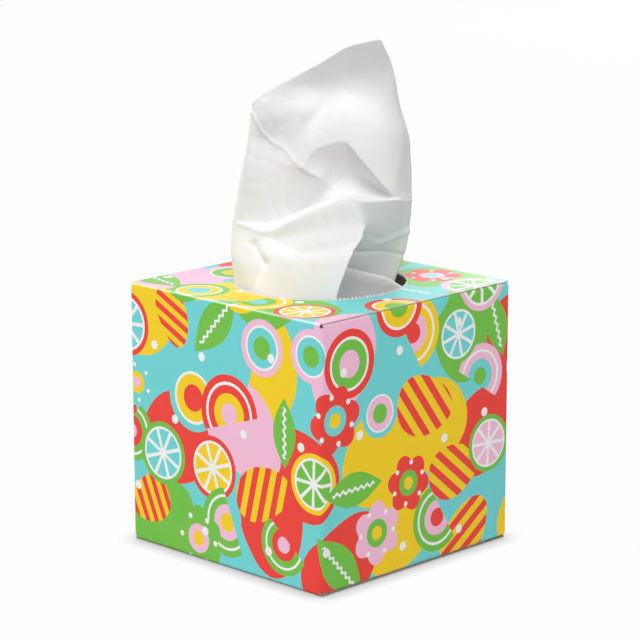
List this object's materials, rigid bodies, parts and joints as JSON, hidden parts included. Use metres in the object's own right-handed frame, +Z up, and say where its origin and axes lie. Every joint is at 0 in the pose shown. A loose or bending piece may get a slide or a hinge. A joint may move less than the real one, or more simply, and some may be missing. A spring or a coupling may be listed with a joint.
{
  "type": "tissue box",
  "caption": "Cube tissue box: a folded carton with a round top opening, holding a folded clip of pop-up tissues, with one sheet pulled up out of the opening and the next showing below it.",
  "frame": {"origin": "centre of the carton's base, on the surface that it stands on", "axes": "+Z up; -Y is the panel that carries the top cover flap, +X the panel to its right; the pulled sheet's pleat faces the corner between them"},
  "size_m": [0.11, 0.11, 0.2147],
  "materials": {
    "printed_board": "satin printed carton board",
    "tissue_paper": "soft white tissue"
  },
  "bodies": {
    "root": {"carton": "printed_board", "tissue_stack": "tissue_paper", "pulled_tissue": "tissue_paper", "next_tissue": "tissue_paper"}
  },
  "joints": []
}
